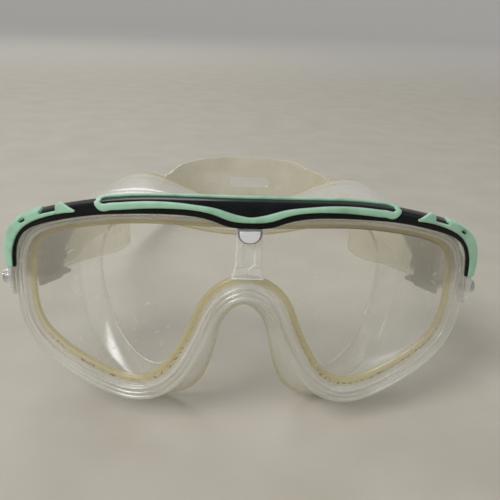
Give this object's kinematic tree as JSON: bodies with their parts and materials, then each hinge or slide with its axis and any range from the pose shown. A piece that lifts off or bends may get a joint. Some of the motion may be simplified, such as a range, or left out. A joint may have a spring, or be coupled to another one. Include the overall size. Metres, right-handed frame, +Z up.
{
  "type": "sports protective goggles",
  "caption": "Swim goggles with a one-piece wraparound lens, soft face skirt, dark brow bar with soft trim, swivelling buckles and an adjustable split head strap.",
  "frame": {"origin": "floor level under the middle of the whole outline, with the goggles standing on the lower lip and the rear band", "axes": "+X to the right seen from the front, +Y from the lens to the rear of the strap, +Z up along the lens"},
  "size_m": [0.1742, 0.2745, 0.0854],
  "materials": {
    "lens_polycarbonate": "clear, slightly yellowed, fine scratches",
    "clear_polycarbonate": "clear, glossy",
    "skirt_silicone": "translucent, yellowed, satin",
    "strap_silicone": "translucent, satin",
    "black_frame": "gloss",
    "mint_trim": "soft satin",
    "dark_clip": "satin",
    "silver_disc": "satin silver",
    "pin_steel": "polished",
    "buckle_plastic": "clear, smoky",
    "lever_plastic": "dark satin"
  },
  "bodies": {
    "mask": {"lens": "lens_polycarbonate", "rim_bead": "skirt_silicone", "skirt_wall": "skirt_silicone", "face_lip": "skirt_silicone", "top_bar": "black_frame", "centre_trim": "mint_trim", "side_trim_left": "mint_trim", "side_trim_right": "mint_trim", "bridge_post": "clear_polycarbonate", "centre_clip": "dark_clip", "clip_disc": "silver_disc", "lug_left": "clear_polycarbonate", "lug_right": "clear_polycarbonate", "hinge_pin_left": "pin_steel", "hinge_pin_right": "pin_steel"},
    "harness": {"strap_left": "strap_silicone", "strap_right": "strap_silicone", "rear_band": "strap_silicone", "link_left": "clear_polycarbonate", "link_right": "clear_polycarbonate", "buckle_left": "buckle_plastic", "buckle_right": "buckle_plastic", "lever_pin_left": "pin_steel", "lever_pin_right": "pin_steel"},
    "release_left": {"lever_left": "lever_plastic"},
    "release_right": {"lever_right": "lever_plastic"}
  },
  "joints": [
    {"name": "strap_swing", "type": "hinge", "parent": "mask", "child": "harness", "pos_m": [0, -0.1066, 0.046], "axis": [1, 0, 0], "range_deg": [-20, 25]},
    {"name": "lever_left_lift", "type": "hinge", "parent": "harness", "child": "release_left", "pos_m": [-0.07693, -0.08129, 0.0475], "axis": [0, 0, 1], "range_deg": [0, 35], "stiffness_Nm_per_rad": 0.02, "springref_deg": -14.32},
    {"name": "lever_right_lift", "type": "hinge", "parent": "harness", "child": "release_right", "pos_m": [0.07693, -0.08129, 0.0475], "axis": [0, 0, -1], "range_deg": [0, 35], "stiffness_Nm_per_rad": 0.02, "springref_deg": -14.32}
  ]
}
